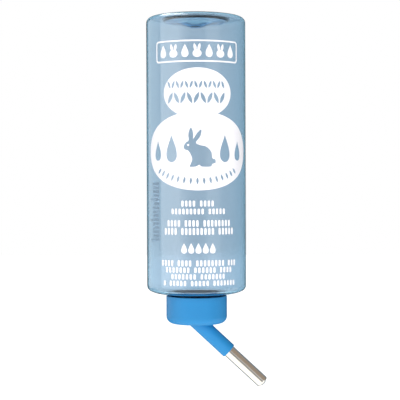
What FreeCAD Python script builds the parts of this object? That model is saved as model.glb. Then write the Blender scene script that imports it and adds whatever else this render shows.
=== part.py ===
import FreeCAD, Part
import math
import os
import Sketcher

# A rabbit's drinking bottle, hung upside down on a cage: a thin blown bottle, a screw cap
# with a slanting socket moulded on it, a sealing washer, and a steel spout with two balls.
#
# Frame: millimetres, +Z up as the bottle hangs, so its base is at the top.
# The origin is on the bottle's axis, halfway along its straight wall, where a holder grips it.
# +X is the side that the spout points to.

# ---------------------------------------------------------------- driving dimensions
SIZES = {
    # bottle
    "body_diameter": 66.5,
    "wall_length": 175.7,          # the straight, holdable stretch of the body
    "bottle_wall": 1.0,
    "base_corner": 3.8,
    "base_ring_width": 6.2,        # flat ring that the bottle stands on to be filled
    "base_wall": 2.6,              # the blown plastic gathers in the middle of the base
    "base_wall_run_out": 2.0,      # how quickly that thicker middle ends at the punt's rim
    "punt_depth": 4.2,             # how far the middle of the base is pushed in
    "punt_tip_radius": 3.0,
    "punt_tip_round": 6.0,
    "punt_foot_radius": 11.5,
    "punt_foot_slope": 6.3,        # degrees, from the punt's rim in to its foot
    "punt_foot_round": 8.0,
    "punt_rim_round": 5.0,
    "shoulder_corner": 4.0,
    "shoulder_break_inset": 4.75,  # from the body's side in to where the shoulder flattens
    "shoulder_outer_slope": 24.0,  # degrees
    "shoulder_inner_slope": 10.5,  # degrees
    "shoulder_round": 16.0,
    # neck and its thread
    "neck_bore_diameter": 31.4,
    "neck_wall": 1.75,
    "neck_length": 14.4,
    "bead_height": 0.9,
    "bead_width": 1.4,
    "bead_gap": 1.6,               # from the shoulder down to the bead
    "thread_pitch": 4.2,
    "thread_turns": 1.25,
    "thread_start": 2.6,           # from the neck's rim up to the middle of the thread's first end
    "thread_height": 1.15,
    "thread_root_width": 2.2,
    "thread_crest_width": 1.0,
    "thread_root_sink": 0.4,       # how far a thread's root reaches into its wall
    # cap
    "cap_wall": 1.45,
    "cap_end_wall": 2.4,
    "cap_bottom_corner": 4.8,
    "cap_rim_gap": 0.85,           # from the shoulder down to the cap's rim
    "cap_rim_round": 0.35,
    "cap_thread_height": 1.1,
    "cap_thread_root_width": 1.8,
    "cap_thread_crest_width": 0.9,
    "thread_radial_gap": 0.35,
    "thread_flank_gap": 0.36,
    # washer
    "washer_thickness": 2.0,
    "washer_overhang": 3.7,        # how far the washer reaches inside the neck's bore
    "washer_side_gap": 0.55,
    # slanting socket and steel spout
    "spout_slope": 43.0,           # degrees below level
    "spout_offset": 1.4,           # where the spout's axis leaves the cap's end, off the cap's axis
    "socket_length": 27.7,
    "socket_wall": 1.0,
    "socket_root_round": 1.2,
    "socket_rim_round": 0.3,
    "press_fit": 0.02,
    "tube_diameter": 8.5,
    "tube_wall": 0.4,
    "tube_sunk_length": 24.2,
    "tube_clear_length": 31.3,
    "tube_corner": 1.2,            # outside radius of each rolled-in end
    "tube_groove_depth": 0.2,      # rolled round the tube just inside the socket, to lock it
    "tube_groove_width": 2.0,
    "tube_seat_ledge": 1.0,        # the step in the socket's bore that the tube's end stops on
    # balls
    "ball_side_gap": 0.278,
    "ball_lip_cover": 0.6,         # how far a rolled-in end reaches over a ball's side
    "ball_gap": 0.03,
}

doc = FreeCAD.newDocument("WaterBottle")
sheet = doc.addObject("Spreadsheet::Sheet", "Sizes")
for row, (alias, size) in enumerate(SIZES.items(), start=1):
    sheet.set(f"A{row}", alias)
    sheet.set(f"B{row}", str(size))
    sheet.setAlias(f"B{row}", alias)
doc.recompute()


# ---------------------------------------------------------------- levels and radii
# Each is an expression over the sheet, so what seats on or in another piece follows it.
def s(text):
    """An expression whose words are all cells of the sheet, ready for any other object."""
    words = sorted(SIZES, key=len, reverse=True)
    out, i = "", 0
    while i < len(text):
        word = next((w for w in words if text.startswith(w, i)), None)
        out += f"Sizes.{word}" if word else text[i]
        i += len(word) if word else 1
    return f"({out})"


BODY_RADIUS = s("body_diameter / 2")
BASE_LEVEL = s("wall_length / 2 + base_corner")
PUNT_RADIUS = s("body_diameter / 2 - base_corner - base_ring_width")
PUNT_TIP = s("punt_tip_radius")
PUNT_FOOT = s("punt_foot_radius")
PUNT_LEVEL = f"({BASE_LEVEL} - {s('punt_depth')})"
PUNT_FOOT_SLOPE = f"tan({s('punt_foot_slope')} * 1 deg)"
PUNT_FOOT_LEVEL = f"({BASE_LEVEL} - ({PUNT_RADIUS} - {PUNT_FOOT}) * {PUNT_FOOT_SLOPE})"

SHOULDER_CORNER_LEVEL = s(
    "-(wall_length / 2 + shoulder_corner * tan((90 - shoulder_outer_slope) / 2 * 1 deg))"
)
SHOULDER_BREAK_RADIUS = s("body_diameter / 2 - shoulder_break_inset")
SHOULDER_BREAK_LEVEL = (
    f"({SHOULDER_CORNER_LEVEL} - {s('shoulder_break_inset * tan(shoulder_outer_slope * 1 deg)')})"
)
INNER_SLOPE = s("tan(shoulder_inner_slope * 1 deg)")


def shoulder_level(radius):
    """The level of the shoulder's outer surface at a radius between the neck and the break."""
    return f"({SHOULDER_BREAK_LEVEL} - ({SHOULDER_BREAK_RADIUS} - {radius}) * {INNER_SLOPE})"


NECK_BORE = s("neck_bore_diameter / 2")
NECK_CORE = s("neck_bore_diameter / 2 + bottle_wall")
NECK_RADIUS = s("neck_bore_diameter / 2 + neck_wall")
NECK_ROOT_LEVEL = shoulder_level(NECK_RADIUS)
NECK_RIM_LEVEL = f"({NECK_ROOT_LEVEL} - {s('neck_length')})"

CAP_BORE = f"({NECK_RADIUS} + {s('thread_height + thread_radial_gap')})"
CAP_RADIUS = f"({CAP_BORE} + {s('cap_wall')})"
CAP_RIM_LEVEL = f"({shoulder_level(CAP_RADIUS)} - {s('cap_rim_gap')})"
CAP_END_LEVEL = f"({NECK_RIM_LEVEL} - {s('washer_thickness')})"
CAP_BOTTOM_LEVEL = f"({CAP_END_LEVEL} - {s('cap_end_wall')})"
CAP_CORNER = s("cap_bottom_corner")

TUBE_RADIUS = s("tube_diameter / 2")
TUBE_BORE = s("tube_diameter / 2 - tube_wall")
BALL_RADIUS = s("tube_diameter / 2 - tube_wall - ball_side_gap")
TUBE_MOUTH = f"({BALL_RADIUS} - {s('ball_lip_cover')})"
WATERWAY_RADIUS = s("tube_diameter / 2 - tube_seat_ledge")
SOCKET_RADIUS = s("tube_diameter / 2 + socket_wall")
SOCKET_BORE = s("tube_diameter / 2 - press_fit")
TUBE_START = s("socket_length - tube_sunk_length")
TUBE_END = s("socket_length + tube_clear_length")
# A ball rests on the inner edge of the rolled-in mouth.
BALL_SEAT = f"({s('tube_wall')} + sqrt({BALL_RADIUS} ^ 2 - {TUBE_MOUTH} ^ 2))"
TIP_BALL_PLACE = f"({TUBE_END} - {BALL_SEAT} - {s('ball_gap')})"
UPPER_BALL_PLACE = f"({TIP_BALL_PLACE} - 2 * {BALL_RADIUS} - {s('ball_gap')})"


def value(expression):
    """What an expression over the sheet comes to now."""
    return float(sheet.evalExpression(expression))


# ---------------------------------------------------------------- how features are made
def plane_of(body, role):
    return next(f for f in body.Origin.OriginFeatures if f.Role == role)


def sketch_on(body, name, role="XZ_Plane"):
    sketch = body.newObject("Sketcher::SketchObject", name)
    sketch.AttachmentSupport = [(plane_of(body, role), "")]
    sketch.MapMode = "FlatFace"
    return sketch


def tie(sketch, kind, expression, *where):
    """Adds a dimension whose size is an expression over the sheet."""
    index = sketch.addConstraint(Sketcher.Constraint(kind, *where, value(expression)))
    sketch.setExpression(f"Constraints[{index}]", expression)


def outline(body, name, corners):
    """A closed outline of straight runs in the XZ plane. Each corner is (radius, level)."""
    sketch = sketch_on(body, name)
    at = [FreeCAD.Vector(value(r), value(z), 0) for r, z in corners]
    count = len(at)
    for i in range(count):
        sketch.addGeometry(Part.LineSegment(at[i], at[(i + 1) % count]), False)
    for i in range(count):
        sketch.addConstraint(Sketcher.Constraint("Coincident", i, 2, (i + 1) % count, 1))
    for i, (r, z) in enumerate(corners):
        if r == "0":
            sketch.addConstraint(Sketcher.Constraint("PointOnObject", i, 1, -2))
        else:
            tie(sketch, "DistanceX", r, -1, 1, i, 1)
        tie(sketch, "DistanceY", z, -1, 1, i, 1)
    return sketch


def turned(body, name, corners, cut=False):
    """A shape turned on the body's Z axis from an outline, added to it or cut out of it."""
    sketch = outline(body, name + "_outline", corners)
    feature = body.newObject("PartDesign::Groove" if cut else "PartDesign::Revolution", name)
    feature.Profile = sketch
    feature.ReferenceAxis = (sketch, ["V_Axis"])
    feature.Angle = 360
    doc.recompute()
    return feature


def rings(shape, picks):
    """The names of the round edges about Z, each at one of the (radius, level) picks."""
    found = []
    for number, edge in enumerate(shape.Edges, start=1):
        curve = edge.Curve
        if not isinstance(curve, Part.Circle) or abs(edge.Length) < 1e-6:
            continue
        for radius, level in picks:
            if abs(curve.Radius - value(radius)) < 1e-3 and abs(curve.Center.z - value(level)) < 1e-3:
                found.append(f"Edge{number}")
    return found


def rounded(body, name, base, edges, radius):
    feature = body.newObject("PartDesign::Fillet", name)
    feature.Base = (base, edges)
    feature.setExpression("Radius", radius)
    doc.recompute()
    return feature


def thread(body, name, root_radius, sink, crest_radius, root_width, crest_width, first_level):
    """A right-hand thread: its section stands on root_radius and reaches crest_radius."""
    section = outline(
        body,
        name + "_section",
        [
            (sink, f"({first_level} - {root_width} / 2)"),
            (root_radius, f"({first_level} - {root_width} / 2)"),
            (crest_radius, f"({first_level} - {crest_width} / 2)"),
            (crest_radius, f"({first_level} + {crest_width} / 2)"),
            (root_radius, f"({first_level} + {root_width} / 2)"),
            (sink, f"({first_level} + {root_width} / 2)"),
        ],
    )
    feature = body.newObject("PartDesign::AdditiveHelix", name)
    feature.Profile = section
    feature.ReferenceAxis = (section, ["V_Axis"])
    feature.Mode = "pitch-turns-angle"
    feature.setExpression("Pitch", s("thread_pitch"))
    feature.setExpression("Turns", s("thread_turns"))
    feature.Angle = 0
    feature.LeftHanded = False
    doc.recompute()
    return feature


def new_body(label):
    body = doc.addObject("PartDesign::Body", label)
    body.Label = label
    return body


def lean(thing, distance):
    """Puts a piece made along Z onto the spout's axis, distance along it from the cap's end."""
    slope = s("spout_slope")
    thing.setExpression(
        "Placement.Base.x", f"{s('spout_offset')} + {distance} * cos({slope} * 1 deg)"
    )
    thing.setExpression(
        "Placement.Base.z", f"{CAP_BOTTOM_LEVEL} - {distance} * sin({slope} * 1 deg)"
    )
    thing.Placement.Rotation = FreeCAD.Rotation(FreeCAD.Vector(0, 1, 0), 1)
    thing.setExpression("Placement.Rotation.Angle", f"(90 + {slope}) * 1 deg")


# ---------------------------------------------------------------- bottle
def make_bottle():
    body = new_body("bottle")
    solid = turned(
        body,
        "bottle_form",
        [
            ("0", PUNT_LEVEL),
            (PUNT_TIP, PUNT_LEVEL),
            (PUNT_FOOT, PUNT_FOOT_LEVEL),
            (PUNT_RADIUS, BASE_LEVEL),
            (BODY_RADIUS, BASE_LEVEL),
            (BODY_RADIUS, SHOULDER_CORNER_LEVEL),
            (SHOULDER_BREAK_RADIUS, SHOULDER_BREAK_LEVEL),
            (NECK_CORE, shoulder_level(NECK_CORE)),
            (NECK_CORE, NECK_RIM_LEVEL),
            ("0", NECK_RIM_LEVEL),
        ],
    )
    for name, radius, pick in (
        ("punt_tip", s("punt_tip_round"), (PUNT_TIP, PUNT_LEVEL)),
        ("punt_foot", s("punt_foot_round"), (PUNT_FOOT, PUNT_FOOT_LEVEL)),
        ("punt_rim", s("punt_rim_round"), (PUNT_RADIUS, BASE_LEVEL)),
        ("base_edge", s("base_corner"), (BODY_RADIUS, BASE_LEVEL)),
        ("shoulder_edge", s("shoulder_corner"), (BODY_RADIUS, SHOULDER_CORNER_LEVEL)),
        ("shoulder_bend", s("shoulder_round"), (SHOULDER_BREAK_RADIUS, SHOULDER_BREAK_LEVEL)),
    ):
        solid = rounded(body, name, solid, rings(solid.Shape, [pick]), radius)

    mouth = [
        f"Face{number}"
        for number, face in enumerate(solid.Shape.Faces, start=1)
        if isinstance(face.Surface, Part.Plane)
        and abs(face.CenterOfMass.z - value(NECK_RIM_LEVEL)) < 1e-3
    ]
    shell = body.newObject("PartDesign::Thickness", "blown_wall")
    shell.Base = (solid, mouth)
    shell.Reversed = True
    shell.setExpression("Value", s("bottle_wall"))
    doc.recompute()

    # The base's thicker middle follows the punt inside and starts half way through the wall.
    start, inside = s("bottle_wall / 2"), s("base_wall")
    tip, foot = f"({PUNT_LEVEL} - {inside})", f"({PUNT_FOOT_LEVEL} - {inside})"
    rim_radius = f"({PUNT_RADIUS} - {s('base_wall_run_out')})"
    rim = f"({BASE_LEVEL} - {s('base_wall_run_out')} * {PUNT_FOOT_SLOPE} - {inside})"
    middle = turned(
        body,
        "base_middle",
        [
            ("0", tip),
            (PUNT_TIP, tip),
            (PUNT_FOOT, foot),
            (rim_radius, rim),
            (PUNT_RADIUS, f"({BASE_LEVEL} - {start})"),
            (PUNT_FOOT, f"({PUNT_FOOT_LEVEL} - {start})"),
            (PUNT_TIP, f"({PUNT_LEVEL} - {start})"),
            ("0", f"({PUNT_LEVEL} - {start})"),
        ],
    )
    for name, radius, pick in (
        ("middle_tip", s("punt_tip_round"), (PUNT_TIP, tip)),
        ("middle_foot", s("punt_foot_round"), (PUNT_FOOT, foot)),
    ):
        middle = rounded(body, name, middle, rings(middle.Shape, [pick]), radius)

    buried = f"({NECK_BORE} + {s('bottle_wall')} / 2)"
    turned(
        body,
        "neck_sleeve",
        [
            (buried, NECK_RIM_LEVEL),
            (NECK_RADIUS, NECK_RIM_LEVEL),
            (NECK_RADIUS, f"({NECK_ROOT_LEVEL} + {s('bottle_wall')} / 2)"),
            (buried, f"({NECK_ROOT_LEVEL} + {s('bottle_wall')} / 2)"),
        ],
    )
    bead_top = f"({NECK_ROOT_LEVEL} - {s('bead_gap')})"
    bead_low = f"({bead_top} - {s('bead_width')})"
    bead_inside = f"({NECK_RADIUS} - {s('thread_root_sink')})"
    bead_crest = f"({NECK_RADIUS} + {s('bead_height')})"
    bead = turned(
        body,
        "carrying_bead",
        [
            (bead_inside, bead_low),
            (bead_crest, bead_low),
            (bead_crest, bead_top),
            (bead_inside, bead_top),
        ],
    )
    bead = rounded(
        body,
        "bead_round",
        bead,
        rings(bead.Shape, [(bead_crest, bead_low), (bead_crest, bead_top)]),
        f"({s('bead_width')} / 4)",
    )
    rounded(
        body,
        "rim_round",
        bead,
        rings(bead.Shape, [(NECK_RADIUS, NECK_RIM_LEVEL), (NECK_BORE, NECK_RIM_LEVEL)]),
        f"({s('neck_wall')} / 5)",
    )
    thread(
        body,
        "neck_thread",
        NECK_RADIUS,
        f"({NECK_RADIUS} - {s('thread_root_sink')})",
        f"({NECK_RADIUS} + {s('thread_height')})",
        s("thread_root_width"),
        s("thread_crest_width"),
        f"({NECK_RIM_LEVEL} + {s('thread_start')})",
    )
    return body


# ---------------------------------------------------------------- cap
def cap_thread_level():
    """The middle of the cap's thread at its first end: on the shoulder's side of the neck's thread."""
    crest = f"({CAP_BORE} - {s('cap_thread_height')})"
    share = f"(({crest} - {NECK_RADIUS}) / {s('thread_height')})"
    neck_width = s(
        "thread_root_width"
    ) + f" - {share} * {s('thread_root_width - thread_crest_width')}"
    clear = f"(({neck_width} + {s('cap_thread_crest_width')}) / 2 + {s('thread_flank_gap')})"
    return f"({NECK_RIM_LEVEL} + {s('thread_start')} + {clear})"


def round_sketch_on_spout(body, name, radius, distance):
    """A circle square to the spout's axis, distance along it from the cap's end."""
    sketch = sketch_on(body, name, "XY_Plane")
    slope = s("spout_slope")
    sketch.AttachmentOffset = FreeCAD.Placement(
        FreeCAD.Vector(), FreeCAD.Rotation(FreeCAD.Vector(0, 1, 0), 1)
    )
    sketch.setExpression("AttachmentOffset.Rotation.Angle", f"(90 + {slope}) * 1 deg")
    sketch.setExpression(
        "AttachmentOffset.Base.x", f"{s('spout_offset')} + {distance} * cos({slope} * 1 deg)"
    )
    sketch.setExpression(
        "AttachmentOffset.Base.z", f"{CAP_BOTTOM_LEVEL} - {distance} * sin({slope} * 1 deg)"
    )
    sketch.addGeometry(Part.Circle(FreeCAD.Vector(), FreeCAD.Vector(0, 0, 1), value(radius)), False)
    sketch.addConstraint(Sketcher.Constraint("Coincident", 0, 3, -1, 1))
    tie(sketch, "Radius", radius, 0)
    return sketch


def along_spout(body, name, kind, radius, length):
    """A Pad or Pocket from the socket's mouth back towards the cap."""
    sketch = round_sketch_on_spout(body, name + "_circle", radius, s("socket_length"))
    feature = body.newObject(kind, name)
    feature.Profile = sketch
    feature.setExpression("Length", length)
    feature.Reversed = kind == "PartDesign::Pad"
    doc.recompute()
    return feature


def make_cap():
    body = new_body("screw_cap")
    form = turned(
        body,
        "cap_form",
        [
            ("0", CAP_BOTTOM_LEVEL),
            (CAP_RADIUS, CAP_BOTTOM_LEVEL),
            (CAP_RADIUS, CAP_RIM_LEVEL),
            ("0", CAP_RIM_LEVEL),
        ],
    )
    rounded(
        body, "cap_edge", form, rings(form.Shape, [(CAP_RADIUS, CAP_BOTTOM_LEVEL)]), CAP_CORNER
    )
    # The socket runs on into the solid cap far enough for its whole round end to be inside.
    buried = s("socket_length + 2 * (tube_diameter / 2 + socket_wall)")
    socket = along_spout(body, "socket", "PartDesign::Pad", SOCKET_RADIUS, buried)
    root = [
        f"Edge{number}"
        for number, edge in enumerate(socket.Shape.Edges, start=1)
        if isinstance(edge.Curve, Part.Ellipse)
    ]
    socket = rounded(body, "socket_root", socket, root, s("socket_root_round"))
    mouth = [
        f"Edge{number}"
        for number, edge in enumerate(socket.Shape.Edges, start=1)
        if isinstance(edge.Curve, Part.Circle)
        and abs(edge.Curve.Radius - value(SOCKET_RADIUS)) < 1e-3
    ]
    rounded(body, "socket_rim", socket, mouth, s("socket_rim_round"))
    hollow = turned(
        body,
        "cap_hollow",
        [
            ("0", CAP_END_LEVEL),
            (CAP_BORE, CAP_END_LEVEL),
            (CAP_BORE, CAP_RIM_LEVEL),
            ("0", CAP_RIM_LEVEL),
        ],
        cut=True,
    )
    rounded(
        body,
        "cap_rim",
        hollow,
        rings(hollow.Shape, [(CAP_BORE, CAP_RIM_LEVEL), (CAP_RADIUS, CAP_RIM_LEVEL)]),
        s("cap_rim_round"),
    )
    along_spout(body, "tube_seat", "PartDesign::Pocket", SOCKET_BORE, s("tube_sunk_length"))
    along_spout(
        body,
        "waterway",
        "PartDesign::Pocket",
        WATERWAY_RADIUS,
        f"({s('socket_length')} + ({s('cap_end_wall')} + 2 * {WATERWAY_RADIUS})"
        f" / sin({s('spout_slope')} * 1 deg))",
    )
    thread(
        body,
        "cap_thread",
        CAP_BORE,
        f"({CAP_BORE} + {s('thread_root_sink')})",
        f"({CAP_BORE} - {s('cap_thread_height')})",
        s("cap_thread_root_width"),
        s("cap_thread_crest_width"),
        cap_thread_level(),
    )
    return body


# ---------------------------------------------------------------- washer
def make_washer():
    body = new_body("cap_washer")
    outside = f"({CAP_BORE} - {s('washer_side_gap')})"
    inside = f"({NECK_BORE} - {s('washer_overhang')})"
    turned(
        body,
        "washer_ring",
        [
            (inside, CAP_END_LEVEL),
            (outside, CAP_END_LEVEL),
            (outside, NECK_RIM_LEVEL),
            (inside, NECK_RIM_LEVEL),
        ],
    )
    return body


# ---------------------------------------------------------------- steel spout
def make_tube():
    body = new_body("spout_tube")
    tube_wall = s("tube_wall")
    inner_start = f"({TUBE_START} + {tube_wall})"
    inner_end = f"({TUBE_END} - {tube_wall})"
    form = turned(
        body,
        "tube_form",
        [
            (TUBE_MOUTH, TUBE_START),
            (TUBE_RADIUS, TUBE_START),
            (TUBE_RADIUS, TUBE_END),
            (TUBE_MOUTH, TUBE_END),
            (TUBE_MOUTH, inner_end),
            (TUBE_BORE, inner_end),
            (TUBE_BORE, inner_start),
            (TUBE_MOUTH, inner_start),
        ],
    )
    form = rounded(
        body,
        "rolled_outside",
        form,
        rings(form.Shape, [(TUBE_RADIUS, TUBE_START), (TUBE_RADIUS, TUBE_END)]),
        s("tube_corner"),
    )
    rounded(
        body,
        "rolled_inside",
        form,
        rings(form.Shape, [(TUBE_BORE, inner_start), (TUBE_BORE, inner_end)]),
        s("tube_corner - tube_wall"),
    )
    mouth = s("socket_length")
    groove_start = s("socket_length - tube_groove_width")
    groove_floor = s("tube_diameter / 2 - tube_groove_depth")
    beyond = s("tube_diameter")
    turned(
        body,
        "locking_groove",
        [
            (groove_floor, groove_start),
            (beyond, groove_start),
            (beyond, mouth),
            (groove_floor, mouth),
        ],
        cut=True,
    )
    lean(body, "0")
    return body


# ---------------------------------------------------------------- balls
def make_ball(label, distance):
    ball = doc.addObject("Part::Sphere", label)
    ball.Label = label
    ball.setExpression("Radius", BALL_RADIUS)
    lean(ball, distance)
    return ball


# ---------------------------------------------------------------- build, check and write
pieces = [
    make_bottle(),
    make_cap(),
    make_washer(),
    make_tube(),
    make_ball("tip_ball", TIP_BALL_PLACE),
    make_ball("upper_ball", UPPER_BALL_PLACE),
]
doc.recompute()

for thing in doc.Objects:
    if {"Invalid", "Error"} & set(thing.State):
        raise RuntimeError(f"{thing.Label} failed: {thing.State} {thing.getStatusString()}")
for piece in pieces:
    if piece.Shape.isNull() or not piece.Shape.isValid() or not piece.Shape.Solids:
        raise RuntimeError(f"{piece.Label} has no valid solid")

os.makedirs("parts", exist_ok=True)
for piece in pieces:
    piece.Shape.exportStep(os.path.join("parts", piece.Label + ".step"))
    box = piece.Shape.BoundBox
    print(
        f"{piece.Label}: {len(piece.Shape.Solids)} solid, {piece.Shape.Volume / 1000:.2f} cm3,"
        f" x {box.XMin:.2f}..{box.XMax:.2f}, y {box.YMin:.2f}..{box.YMax:.2f},"
        f" z {box.ZMin:.2f}..{box.ZMax:.2f}"
    )
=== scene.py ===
import math

import bmesh
import bpy
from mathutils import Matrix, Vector
from mathutils.geometry import delaunay_2d_cdt


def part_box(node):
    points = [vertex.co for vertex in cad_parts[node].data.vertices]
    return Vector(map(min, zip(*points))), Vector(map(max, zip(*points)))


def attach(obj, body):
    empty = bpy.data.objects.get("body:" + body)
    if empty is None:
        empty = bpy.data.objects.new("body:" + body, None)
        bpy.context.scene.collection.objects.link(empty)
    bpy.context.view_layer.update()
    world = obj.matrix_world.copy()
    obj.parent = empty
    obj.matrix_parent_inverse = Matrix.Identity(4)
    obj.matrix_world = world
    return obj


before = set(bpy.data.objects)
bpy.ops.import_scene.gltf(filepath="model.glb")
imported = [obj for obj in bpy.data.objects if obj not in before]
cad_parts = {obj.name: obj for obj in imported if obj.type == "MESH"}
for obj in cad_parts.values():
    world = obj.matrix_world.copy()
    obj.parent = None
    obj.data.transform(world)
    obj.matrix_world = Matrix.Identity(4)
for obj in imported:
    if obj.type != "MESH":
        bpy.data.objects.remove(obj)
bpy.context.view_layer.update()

MM = 0.001


# ---------------------------------------------------------------- the bottle
# One blown piece of clear tinted plastic: a thin even wall, a pushed-in base with a thicker middle,
# a rounded shoulder and a threaded neck. Its colour is in the plastic, so it deepens wherever the
# wall is seen edge on.
def new_material(name):
    material = bpy.data.materials.new(name)
    material.use_nodes = True
    nodes = material.node_tree.nodes
    nodes.clear()
    shader = nodes.new("ShaderNodeBsdfPrincipled")
    output = nodes.new("ShaderNodeOutputMaterial")
    material.node_tree.links.new(shader.outputs["BSDF"], output.inputs["Surface"])
    return material, shader, output


def stretched_noise(material, scale, detail, stretch=(1.0, 1.0, 1.0), turn=(0.0, 0.0, 0.0)):
    """Noise over the piece's own place in the frame, scale is in waves per metre."""
    nodes, links = material.node_tree.nodes, material.node_tree.links
    place = nodes.new("ShaderNodeTexCoord")
    mapping = nodes.new("ShaderNodeMapping")
    mapping.vector_type = "POINT"
    mapping.inputs["Rotation"].default_value = turn
    mapping.inputs["Scale"].default_value = stretch
    noise = nodes.new("ShaderNodeTexNoise")
    noise.inputs["Scale"].default_value = scale
    noise.inputs["Detail"].default_value = detail
    links.new(place.outputs["Object"], mapping.inputs["Vector"])
    links.new(mapping.outputs["Vector"], noise.inputs["Vector"])
    return noise


def between(material, source, low, high, socket):
    """Sends a 0 to 1 value to a socket as low to high."""
    ranged = material.node_tree.nodes.new("ShaderNodeMapRange")
    ranged.inputs["To Min"].default_value = low
    ranged.inputs["To Max"].default_value = high
    material.node_tree.links.new(source.outputs[0], ranged.inputs["Value"])
    material.node_tree.links.new(ranged.outputs["Result"], socket)


def toned(material, shader, source, low, high):
    """Colours a surface from the tone low to the tone high by a 0 to 1 source."""
    links = material.node_tree.links
    ramp = material.node_tree.nodes.new("ShaderNodeValToRGB")
    ramp.color_ramp.elements[0].color = low
    ramp.color_ramp.elements[1].color = high
    links.new(source.outputs[0], ramp.inputs["Fac"])
    links.new(ramp.outputs["Color"], shader.inputs["Base Color"])


def dented(material, shader, source, height, strength):
    """Bumps a surface by a source, height in metres."""
    bump = material.node_tree.nodes.new("ShaderNodeBump")
    bump.inputs["Strength"].default_value = strength
    bump.inputs["Distance"].default_value = height
    material.node_tree.links.new(source.outputs[0], bump.inputs["Height"])
    material.node_tree.links.new(bump.outputs["Normal"], shader.inputs["Normal"])


def dress(node, material):
    """Gives a carried-over node its finish."""
    node.data.materials.clear()
    node.data.materials.append(material)


PLASTIC_TINT = (0.02, 0.70, 0.90, 1.0)
PLASTIC_DEPTH = 370.0          # how fast the tint deepens, per metre of plastic
PLASTIC_SKIN = (0.82, 0.755, 0.795, 1.0)    # scuffs on its faces grey what passes through

tinted_plastic, plastic_shader, plastic_output = new_material("tinted_clear_plastic")
plastic_shader.inputs["Base Color"].default_value = PLASTIC_SKIN
plastic_shader.inputs["Transmission Weight"].default_value = 1.0
plastic_shader.inputs["IOR"].default_value = 1.5
plastic_tint = tinted_plastic.node_tree.nodes.new("ShaderNodeVolumeAbsorption")
plastic_tint.inputs["Color"].default_value = PLASTIC_TINT
plastic_tint.inputs["Density"].default_value = PLASTIC_DEPTH
tinted_plastic.node_tree.links.new(plastic_tint.outputs["Volume"], plastic_output.inputs["Volume"])
handling_haze = stretched_noise(tinted_plastic, 60.0, 3.0)
between(tinted_plastic, handling_haze, 0.03, 0.10, plastic_shader.inputs["Roughness"])
blown_waves = stretched_noise(tinted_plastic, 45.0, 2.0, stretch=(1.0, 1.0, 0.25))
dented(tinted_plastic, plastic_shader, blown_waves, 0.4 * MM, 0.35)
dress(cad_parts["bottle"], tinted_plastic)


# ---------------------------------------------------------------- the print on the bottle
# White ink, screen printed on the outside of the wall as it is rolled under the screen.
# Every mark is laid out on the unrolled wall: u runs round it from the front, v is the height.
WALL_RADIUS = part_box("bottle")[1][0]
INK_LIFT = 0.01 * MM
INK_FILM = 0.06 * MM
STRIP = math.radians(3.0)      # the film is cut into strips this wide so it lies on the wall


def oval(u, v, half_width, half_height, points=96):
    return [
        (
            u + half_width * math.cos(2 * math.pi * i / points),
            v + half_height * math.sin(2 * math.pi * i / points),
        )
        for i in range(points)
    ]


def rounded_block(u, v, width, height, corner, points=5):
    """A rectangle with round corners, its middle at (u, v)."""
    loop = []
    for quarter, (side, end) in enumerate(((1, 1), (-1, 1), (-1, -1), (1, -1))):
        middle_u = u + side * (width / 2 - corner)
        middle_v = v + end * (height / 2 - corner)
        for i in range(points + 1):
            angle = math.radians(90) * (quarter + i / points)
            loop.append((middle_u + corner * math.cos(angle), middle_v + corner * math.sin(angle)))
    return loop


def drop(u, v, width, height, points=36):
    """A water drop, its point at the top."""
    loop = []
    for i in range(points):
        angle = 2 * math.pi * i / points
        swell = 1.3 * math.sin(angle) * math.sin(angle / 2) ** 1.6
        loop.append((u - swell * width / 2, v + math.cos(angle) * height / 2))
    return loop


def leaf(u, v, width, length, tilt, points=10):
    """A leaf with two pointed ends, tilted clockwise by tilt degrees from upright."""
    turn = math.radians(tilt)
    loop = []
    for i in range(2 * points):
        along = -1 + 2 * (i % points) / points
        side = 1 if i < points else -1
        if side < 0:
            along = -along
        across = side * width / 2 * (1 - along * along)
        along *= length / 2
        loop.append(
            (
                u + across * math.cos(turn) + along * math.sin(turn),
                v - across * math.sin(turn) + along * math.cos(turn),
            )
        )
    return loop


def smooth_loop(corners, steps=5):
    """A closed smooth line through the given corners."""
    count = len(corners)
    loop = []
    for i in range(count):
        before, here = Vector(corners[i - 1]), Vector(corners[i])
        after, beyond = Vector(corners[(i + 1) % count]), Vector(corners[(i + 2) % count])
        for step in range(steps):
            t = step / steps
            point = 0.5 * (
                2 * here
                + (after - before) * t
                + (2 * before - 5 * here + 4 * after - beyond) * t * t
                + (3 * here - before - 3 * after + beyond) * t * t * t
            )
            loop.append((point.x, point.y))
    return loop


def holds(loop, u, v):
    """Whether a loop goes round the point (u, v)."""
    inside = False
    before_u, before_v = loop[-1]
    for here_u, here_v in loop:
        if (here_v > v) != (before_v > v):
            if u < (before_u - here_u) * (v - here_v) / (before_v - here_v) + here_u:
                inside = not inside
        before_u, before_v = here_u, here_v
    return inside


def boxed(loops):
    """Each loop with its own lowest and highest u and v, so most tests stay short."""
    return [
        (
            min(u for u, v in loop),
            max(u for u, v in loop),
            min(v for u, v in loop),
            max(v for u, v in loop),
            loop,
        )
        for loop in loops
    ]


def in_any(boxes, u, v):
    return any(
        low_u <= u <= high_u and low_v <= v <= high_v and holds(loop, u, v)
        for low_u, high_u, low_v, high_v, loop in boxes
    )


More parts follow.
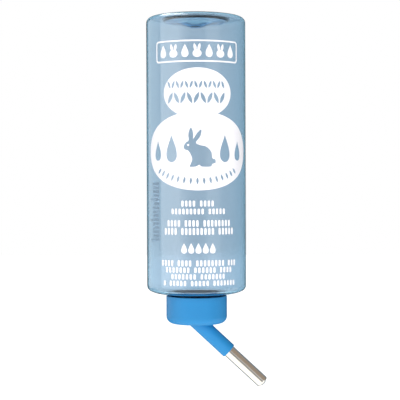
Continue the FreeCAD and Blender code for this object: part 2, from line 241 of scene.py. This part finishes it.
def ink(name, printed, cleared=(), kept=()):
    """A thin film of ink on the wall: printed, less what is cleared, plus what is kept there.
    All loops are in millimetres on the unrolled wall."""
    points, edges = [], []
    for loop in [*printed, *cleared, *kept]:
        start = len(points)
        points.extend(Vector(p) for p in loop)
        edges.extend((start + i, start + (i + 1) % len(loop)) for i in range(len(loop)))
    strip = STRIP * WALL_RADIUS / MM
    first = math.floor(min(p.x for p in points) / strip)
    last = math.ceil(max(p.x for p in points) / strip)
    low, high = min(p.y for p in points) - 1, max(p.y for p in points) + 1
    for i in range(first, last + 1):
        edges.append((len(points), len(points) + 1))
        points.extend((Vector((i * strip, low)), Vector((i * strip, high))))
    flat, _, triangles, *_ = delaunay_2d_cdt(points, edges, [], 0, 1e-4)
    tests = [boxed(printed), boxed(cleared), boxed(kept)]
    inked = []
    for triangle in triangles:
        middle = sum((flat[i] for i in triangle), Vector((0, 0))) / len(triangle)
        on, off, back_on = (in_any(test, middle.x, middle.y) for test in tests)
        if (on and not off) or back_on:
            inked.append(triangle)

    film = bmesh.new()
    used = sorted({i for triangle in inked for i in triangle})
    skins = []
    for lift in (INK_LIFT, INK_LIFT + INK_FILM):
        radius = WALL_RADIUS + lift
        skin = {}
        for i in used:
            turn = flat[i].x * MM / WALL_RADIUS
            skin[i] = film.verts.new(
                (radius * math.sin(turn), -radius * math.cos(turn), flat[i].y * MM)
            )
        skins.append(skin)
    under, over = skins
    sides = {}
    for triangle in inked:
        film.faces.new([over[i] for i in triangle])
        film.faces.new([under[i] for i in reversed(triangle)])
        for a, b in zip(triangle, [*triangle[1:], triangle[0]]):
            sides[(a, b)] = sides.get((a, b), 0) + 1
    for a, b in sides:
        if (b, a) not in sides:
            film.faces.new((over[b], over[a], under[a], under[b]))
            for skin in skins:
                film.edges.get((skin[a], skin[b])).smooth = False
    for face in film.faces:
        face.smooth = True
    mesh = bpy.data.meshes.new(name)
    film.to_mesh(mesh)
    film.free()
    piece = bpy.data.objects.new(name, mesh)
    bpy.context.collection.objects.link(piece)
    mesh.materials.append(white_ink)
    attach(piece, "bottle")
    return piece


white_ink, ink_shader, _ = new_material("white_screen_ink")
ink_mottle = stretched_noise(white_ink, 900.0, 4.0)
INK_TONES = ((0.74, 0.74, 0.77, 1.0), (0.80, 0.79, 0.82, 1.0))
toned(white_ink, ink_shader, ink_mottle, *INK_TONES)
between(white_ink, ink_mottle, 0.35, 0.5, ink_shader.inputs["Roughness"])
dented(white_ink, ink_shader, ink_mottle, 0.02 * MM, 0.3)

# A framed strip near the base: rabbit heads and water drops in turn.
FRAME_MIDDLE = (0.9, 65.9)
FRAME_WIDTH, FRAME_HEIGHT, FRAME_LINE = 60.4, 14.2, 1.0
CORNER_OUTSIDE, CORNER_INSIDE = 2.2, 1.3
HEAD_PITCH = 7.9
HEAD_SIZE, HEAD_DROP = (2.9, 2.5), 1.6
EAR_SIZE, EAR_APART, EAR_RISE, EAR_TILT = (1.9, 5.4), 1.3, 2.2, 12
STRIP_DROP_SIZE, STRIP_DROP_RISE = (5.2, 8.6), 0.3
frame_outside = rounded_block(*FRAME_MIDDLE, FRAME_WIDTH, FRAME_HEIGHT, CORNER_OUTSIDE)
frame_inside = rounded_block(
    *FRAME_MIDDLE, FRAME_WIDTH - 2 * FRAME_LINE, FRAME_HEIGHT - 2 * FRAME_LINE, CORNER_INSIDE
)
strip_marks = []
for place in range(-3, 4):
    u = FRAME_MIDDLE[0] + HEAD_PITCH * place
    v = FRAME_MIDDLE[1]
    if place % 2:
        strip_marks.append(drop(u, v + STRIP_DROP_RISE, *STRIP_DROP_SIZE))
    else:
        strip_marks.append(oval(u, v - HEAD_DROP, *HEAD_SIZE, 32))
        for side in (-1, 1):
            ear = (u + side * EAR_APART, v + EAR_RISE)
            strip_marks.append(leaf(*ear, *EAR_SIZE, side * EAR_TILT))
ink("print_frame", [frame_outside], [frame_inside], strip_marks)

# Two joined ovals with the plastic left bare for a sitting rabbit, drops, two rows of leaves and a
# garland of leaves below.
SMALL_OVAL = (1.2, 38.9, 23.6, 16.2)
LARGE_OVAL = (1.7, 1.4, 39.0, 25.5)
RABBIT = [
    (-10.6, 6.4), (-9.0, 9.4), (-6.9, 11.0), (-7.0, 16.0), (-5.2, 20.6), (-3.4, 16.4),
    (-3.3, 12.2), (-0.6, 16.4), (2.6, 19.0), (1.9, 14.0), (-1.4, 9.4), (1.6, 7.5),
    (6.2, 6.4), (10.0, 2.8), (11.0, -2.2), (13.2, -3.0), (13.4, -5.6), (11.0, -6.4),
    (9.6, -8.4), (3.2, -8.5), (1.0, -7.2), (-1.6, -8.4), (-6.0, -8.5), (-5.4, -6.6),
    (-4.2, -3.0), (-5.4, 0.8), (-7.2, 3.4), (-9.8, 4.4),
]
RABBIT_SCALE = 0.87
RABBIT_FOOT = (1.2, -1.4)
RABBIT_EYE, EYE_RADIUS = (-7.2, 7.6), 0.7
# Each pair of drops: how far to the side, height of its middle, width and height.
DROP_PAIRS = ((18.2, 3.2, 8.6, 18.0), (29.6, 1.8, 6.4, 13.0))
# Each row of leaves: count, middle u, pitch, level, leaf width, leaf length, tilt of the odd ones.
LEAF_ROWS = ((13, 0.1, 3.05, 44.3, 1.7, 5.4, 20), (9, 0.4, 4.4, 35.7, 2.5, 8.2, -24))
GARLAND_LEAVES, GARLAND_SWING, GARLAND_LEAF = 15, 47, (1.6, 4.6)
GARLAND_MIDDLE, GARLAND_SIZE, GARLAND_TILT = (0.9, 2.6), (37.0, 20.6), 0.8


def rabbit_point(x, y):
    return RABBIT_FOOT[0] + x * RABBIT_SCALE, RABBIT_FOOT[1] + y * RABBIT_SCALE


bare = [smooth_loop([rabbit_point(x, y) for x, y in RABBIT])]
for side in (-1, 1):
    for aside, level, width, height in DROP_PAIRS:
        bare.append(drop(LARGE_OVAL[0] + side * aside, level, width, height))
for count, middle, pitch, level, width, length, tilt in LEAF_ROWS:
    for place in range(count):
        u = middle + pitch * (place - count // 2)
        bare.append(leaf(u, level, width, length, tilt if place % 2 else -tilt))
for place in range(GARLAND_LEAVES):
    swing = GARLAND_SWING * (2 * place / (GARLAND_LEAVES - 1) - 1)
    u = GARLAND_MIDDLE[0] + GARLAND_SIZE[0] * math.sin(math.radians(swing))
    v = GARLAND_MIDDLE[1] - GARLAND_SIZE[1] * math.cos(math.radians(swing))
    bare.append(leaf(u, v, *GARLAND_LEAF, -swing * GARLAND_TILT))
eye = oval(*rabbit_point(*RABBIT_EYE), EYE_RADIUS, EYE_RADIUS, 16)
ink("print_ovals", [oval(*SMALL_OVAL), oval(*LARGE_OVAL)], bare, [eye])

# Rows of small blocks in place of the fine print, and a row of drops in place of the capacity.
# Each row: middle u, middle v, height, and how many blocks are in each of its groups.
ROWS = (
    (0.9, -32.6, 3.9, (4, 4)),
    (1.5, -37.7, 3.7, (9, 5)),
    (2.0, -45.4, 4.2, (4, 4, 8)),
    (2.2, -50.6, 4.4, (4, 9, 5)),
    (2.0, -71.2, 3.9, (4, 4, 8, 3)),
    (1.9, -75.6, 3.6, (7, 6, 4)),
    (1.2, -79.9, 3.4, (7, 7)),
    (2.4, -84.2, 3.4, (1, 5, 5, 7)),
)
BLOCK_PITCH, BLOCK_WIDTH, BLOCK_CORNER, GROUP_GAP = 2.5, 1.55, 0.6, 2.2
ROW_DROPS, ROW_DROP_PITCH, ROW_DROP_SIZE = 5, 4.7, (4.3, 7.0)
ROW_DROP_MIDDLE, ROW_DROP_LEVEL = 1.4, -61.4
blocks = []
for middle, level, height, groups in ROWS:
    length = sum(groups) * BLOCK_PITCH + (len(groups) - 1) * GROUP_GAP
    at = middle - length / 2
    for count in groups:
        for _ in range(count):
            block_middle = at + BLOCK_PITCH / 2
            blocks.append(rounded_block(block_middle, level, BLOCK_WIDTH, height, BLOCK_CORNER, 2))
            at += BLOCK_PITCH
        at += GROUP_GAP
for place in range(ROW_DROPS):
    u = ROW_DROP_MIDDLE + ROW_DROP_PITCH * (place - ROW_DROPS // 2)
    blocks.append(drop(u, ROW_DROP_LEVEL, *ROW_DROP_SIZE))
ink("print_rows", blocks)

# A ladder of filling marks round the back, seen through the bottle. It is printed thinner, so
# light comes through it.
thin_ink, thin_shader, _ = new_material("thin_white_ink")
thin_mottle = stretched_noise(thin_ink, 900.0, 4.0)
between(thin_ink, thin_mottle, 0.55, 0.75, thin_shader.inputs["Roughness"])
dented(thin_ink, thin_shader, thin_mottle, 0.02 * MM, 0.3)
thin_shader.inputs["Base Color"].default_value = (0.88, 0.90, 0.94, 1.0)
thin_shader.inputs["Transmission Weight"].default_value = 0.75
thin_shader.inputs["IOR"].default_value = 1.3
LADDER_LEFT, LADDER_WIDTH, SHORT_MARK = -73.8, 13.1, 8.6
LADDER_FOOT, LADDER_PITCH, LADDER_BAR, BAR_CORNER = -58.0, 2.75, 2.0, 0.4
LADDER_MARKS, LONG_MARK_EVERY = 15, 5
marks = []
for step in range(LADDER_MARKS):
    width = SHORT_MARK if step % LONG_MARK_EVERY else LADDER_WIDTH
    middle = LADDER_LEFT + width / 2
    level = LADDER_FOOT + step * LADDER_PITCH
    marks.append(rounded_block(middle, level, width, LADDER_BAR, BAR_CORNER, 2))
ladder = ink("print_ladder", marks)
ladder.data.materials[0] = thin_ink


# ---------------------------------------------------------------- the screw cap
# One moulding in opaque blue plastic, with the slanting socket that holds the spout. It screws on
# to the neck; its skin is the satin of a sparked mould.
blue_plastic, cap_shader, _ = new_material("satin_blue_plastic")
moulding_flow = stretched_noise(blue_plastic, 70.0, 2.0)
CAP_TONES = ((0.015, 0.188, 0.43, 1.0), (0.021, 0.212, 0.47, 1.0))
toned(blue_plastic, cap_shader, moulding_flow, *CAP_TONES)
cap_grain = stretched_noise(blue_plastic, 2600.0, 2.0)
between(blue_plastic, cap_grain, 0.34, 0.46, cap_shader.inputs["Roughness"])
cap_shader.inputs["Specular IOR Level"].default_value = 0.25
dented(blue_plastic, cap_shader, cap_grain, 0.02 * MM, 0.25)
dress(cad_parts["screw_cap"], blue_plastic)


# ---------------------------------------------------------------- the washer
# A soft white ring lying in the cap's end, squeezed by the neck's rim so no air leaks in.
soft_rubber, rubber_shader, _ = new_material("soft_white_rubber")
rubber_grain = stretched_noise(soft_rubber, 1500.0, 3.0)
RUBBER_TONES = ((0.66, 0.66, 0.63, 1.0), (0.78, 0.78, 0.75, 1.0))
toned(soft_rubber, rubber_shader, rubber_grain, *RUBBER_TONES)
rubber_shader.inputs["Roughness"].default_value = 0.7
dented(soft_rubber, rubber_shader, rubber_grain, 0.05 * MM, 0.4)
dress(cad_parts["cap_washer"], soft_rubber)


# ---------------------------------------------------------------- the steel spout
# Drawn stainless tube pressed into the socket, both ends rolled in to keep the balls.
# It is polished along its length, so its fine lines run with the tube.
SPOUT_SLOPE = math.radians(43.0)
spout_steel, steel_shader, _ = new_material("drawn_stainless_steel")
steel_shader.inputs["Metallic"].default_value = 1.0
draw_lines = stretched_noise(
    spout_steel, 1400.0, 3.0, stretch=(0.03, 1.0, 1.0), turn=(0.0, -SPOUT_SLOPE, 0.0)
)
STEEL_TONES = ((0.66, 0.64, 0.60, 1.0), (0.80, 0.78, 0.74, 1.0))
toned(spout_steel, steel_shader, draw_lines, *STEEL_TONES)
between(spout_steel, draw_lines, 0.10, 0.22, steel_shader.inputs["Roughness"])
dented(spout_steel, steel_shader, draw_lines, 0.01 * MM, 0.3)
dress(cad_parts["spout_tube"], spout_steel)


# ---------------------------------------------------------------- the balls
# Two ground and polished steel balls, free in the tube. The lower one rests on the rolled-in tip.
ball_steel, ball_shader, _ = new_material("polished_ball_steel")
ball_shader.inputs["Metallic"].default_value = 1.0
ball_scuffs = stretched_noise(ball_steel, 1800.0, 4.0)
BALL_TONES = ((0.72, 0.72, 0.72, 1.0), (0.84, 0.84, 0.84, 1.0))
toned(ball_steel, ball_shader, ball_scuffs, *BALL_TONES)
between(ball_steel, ball_scuffs, 0.05, 0.16, ball_shader.inputs["Roughness"])
for ball in ("tip_ball", "upper_ball"):
    dress(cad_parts[ball], ball_steel)


# ---------------------------------------------------------------- the studio
# A plain white floor well below the hanging bottle and a white surround. What the gloss picks up
# is a wide soft light at the left front, a white table below and a dull, darker room at the right.
FLOOR_LEVEL = -0.30
FLOOR_SIZE = 8.0

world = bpy.data.worlds.new("white_surround")
bpy.context.scene.world = world
world.use_nodes = True
sky, sky_links = world.node_tree.nodes, world.node_tree.links


def sky_math(operation, *values):
    """A Math node whose inputs are numbers or other nodes' outputs."""
    node = sky.new("ShaderNodeMath")
    node.operation = operation
    for socket, value in zip(node.inputs, values):
        if isinstance(value, (int, float)):
            socket.default_value = value
        else:
            sky_links.new(value, socket)
    return node.outputs[0]


def sky_step(source, low, high):
    """Climbs smoothly from 0 at low to 1 at high."""
    ranged = sky.new("ShaderNodeMapRange")
    ranged.interpolation_type = "SMOOTHSTEP"
    sky_links.new(source, ranged.inputs["Value"])
    ranged.inputs["From Min"].default_value = low
    ranged.inputs["From Max"].default_value = high
    return ranged.outputs["Result"]


def sky_mix(share, first, second):
    """Blends two colours, each a node's output or a fixed colour."""
    mix = sky.new("ShaderNodeMix")
    mix.data_type = "RGBA"
    sky_links.new(share, mix.inputs["Factor"])
    for socket, colour in ((mix.inputs["A"], first), (mix.inputs["B"], second)):
        if isinstance(colour, tuple):
            socket.default_value = (*colour, 1.0)
        else:
            sky_links.new(colour, socket)
    return mix.outputs["Result"]


view_place = sky.new("ShaderNodeTexCoord")
direction = sky.new("ShaderNodeSeparateXYZ")
sky_links.new(view_place.outputs["Generated"], direction.inputs["Vector"])
to_right, to_back, to_top = direction.outputs
# The way round, in half turns: 0 at the front, 1 at the back, minus at the left.
to_front = sky_math("MULTIPLY", to_back, -1.0)
way_round = sky_math("DIVIDE", sky_math("ARCTAN2", to_right, to_front), math.pi)

# The brightness of the room at eye level, by degrees round it from the front, minus at the left.
ROOM = (
    (-180, 0.05), (-148, 0.07), (-141, 1.25), (-98, 1.6), (-93, 0.8), (-86, 3.6), (-42, 3.5),
    (-26, 1.5), (-12, 0.55), (6, 0.35), (20, 0.4), (28, 1.5), (50, 1.4), (62, 0.35), (106, 0.12),
    (180, 0.05),
)
BRIGHTEST = 4.0
ramp = sky.new("ShaderNodeValToRGB")
while len(ramp.color_ramp.elements) < len(ROOM):
    ramp.color_ramp.elements.new(0.5)
for element, (degrees, brightness) in zip(ramp.color_ramp.elements, ROOM):
    element.position = (degrees + 180) / 360
    element.color = (*(brightness / BRIGHTEST,) * 3, 1.0)
sky_links.new(sky_math("MULTIPLY_ADD", way_round, 0.5, 0.5), ramp.inputs["Fac"])
room_light = sky.new("ShaderNodeVectorMath")
room_light.operation = "SCALE"
room_light.inputs["Scale"].default_value = BRIGHTEST
sky_links.new(ramp.outputs["Color"], room_light.inputs[0])

TABLE = (1.75, 1.68, 1.55)
CEILING_LEFT = (1.0, 1.0, 1.0)
CEILING_RIGHT = (0.42, 0.34, 0.27)
FAR_SIDE = (0.20, 0.28, 0.36)
# Where each part of the room fades in, by how far a direction points that way, from 0 to 1.
FAR_EDGE, RIGHT_EDGE, TABLE_EDGE, CEILING_EDGE = (0.30, 0.50), (-0.15, 0.05), (0.16, 0.26), (0.20, 0.32)
far = sky_step(to_back, *FAR_EDGE)
table = sky_mix(far, TABLE, FAR_SIDE)
ceiling = sky_mix(sky_step(to_right, *RIGHT_EDGE), CEILING_LEFT, CEILING_RIGHT)
ceiling = sky_mix(far, ceiling, FAR_SIDE)
below = sky_step(sky_math("MULTIPLY", to_top, -1.0), *TABLE_EDGE)
above = sky_step(to_top, *CEILING_EDGE)
room = sky_mix(above, sky_mix(below, room_light.outputs[0], table), ceiling)
# A small strong light overhead at the left, for the glint on the base's edge.
OVERHEAD = (9.0, 9.0, 9.0)
OVERHEAD_EDGE, OVERHEAD_LEFT_EDGE = (0.66, 0.74), (0.22, 0.30)
to_left = sky_math("MULTIPLY", to_right, -1.0)
overhead = sky_math(
    "MULTIPLY", sky_step(to_top, *OVERHEAD_EDGE), sky_step(to_left, *OVERHEAD_LEFT_EDGE)
)
room = sky_mix(overhead, room, OVERHEAD)

# Dull surfaces are lit from the table and the front, and hardly at all from above or behind.
TABLE_GLOW = (1.2, 1.2, 1.2)
ROOF_GLOW = (0.16, 0.16, 0.17)
FAR_GLOW = (0.3, 0.3, 0.3)
GLOW_EDGE = (-0.25, 0.45)
glow = sky_mix(sky_step(to_top, *GLOW_EDGE), TABLE_GLOW, ROOF_GLOW)
glow = sky_mix(far, glow, FAR_GLOW)

# The eye, and what it sees through the plastic, meets plain white.
WHITE = (1.0, 1.0, 1.0)
ray = sky.new("ShaderNodeLightPath")
plain = sky_mix(ray.outputs["Is Diffuse Ray"], WHITE, glow)
mirrored = sky_math(
    "MULTIPLY",
    ray.outputs["Is Glossy Ray"],
    sky_math("SUBTRACT", 1.0, ray.outputs["Is Transmission Ray"]),
)
sky_links.new(sky_mix(mirrored, plain, room), sky["Background"].inputs["Color"])


def flat_panel(name, width, height, place, towards):
    """A flat rectangle at a place, facing a point."""
    mesh = bpy.data.meshes.new(name)
    half_w, half_h = width / 2, height / 2
    mesh.from_pydata(
        [(-half_w, -half_h, 0), (half_w, -half_h, 0), (half_w, half_h, 0), (-half_w, half_h, 0)],
        [],
        [(0, 1, 2, 3)],
    )
    panel = bpy.data.objects.new(name, mesh)
    bpy.context.collection.objects.link(panel)
    panel.location = place
    panel.rotation_euler = (Vector(towards) - Vector(place)).to_track_quat("Z", "Y").to_euler()
    return panel


floor = flat_panel("floor", FLOOR_SIZE, FLOOR_SIZE, (0, 0, FLOOR_LEVEL), (0, 0, 1))
floor_paint, floor_shader, _ = new_material("white_floor")
floor_shader.inputs["Base Color"].default_value = (0.95, 0.95, 0.95, 1.0)
floor_shader.inputs["Roughness"].default_value = 0.9
floor_shader.inputs["Specular IOR Level"].default_value = 0.0
floor_shader.inputs["Emission Color"].default_value = (1.0, 1.0, 1.0, 1.0)
floor_shader.inputs["Emission Strength"].default_value = 1.0
floor.data.materials.append(floor_paint)
floor.visible_glossy = False

# One soft square light in front. It lights the dull surfaces, and is neither mirrored nor seen
# through the plastic.
LAMP_SIDE, LAMP_POWER, LAMP_PLACE = 0.9, 10.0, (0.0, -1.1, 0.1)
lamp_data = bpy.data.lights.new("front_light", "AREA")
lamp_data.shape = "RECTANGLE"
lamp_data.size = LAMP_SIDE
lamp_data.size_y = LAMP_SIDE
lamp_data.energy = LAMP_POWER
lamp = bpy.data.objects.new("front_light", lamp_data)
bpy.context.collection.objects.link(lamp)
lamp.location = LAMP_PLACE
lamp.rotation_euler = (-Vector(LAMP_PLACE)).to_track_quat("-Z", "Y").to_euler()
lamp.visible_glossy = False
lamp.visible_transmission = False

# The camera stands level with the middle of the bottle's wall and looks very slightly down.
CAMERA_LENS, CAMERA_PLACE, CAMERA_PITCH, CAMERA_ROLL = 105.0, (0.0025, -0.785, -0.02255), 89.41, 0.2
camera_data = bpy.data.cameras.new("camera")
camera_data.lens = CAMERA_LENS
camera_data.sensor_width = 36.0
camera_data.clip_start = 0.01
camera = bpy.data.objects.new("camera", camera_data)
bpy.context.collection.objects.link(camera)
camera.location = CAMERA_PLACE
camera.rotation_euler = (math.radians(CAMERA_PITCH), math.radians(CAMERA_ROLL), 0.0)
bpy.context.scene.camera = camera
bpy.context.scene.view_settings.view_transform = "Standard"
bpy.context.scene.view_settings.look = "None"
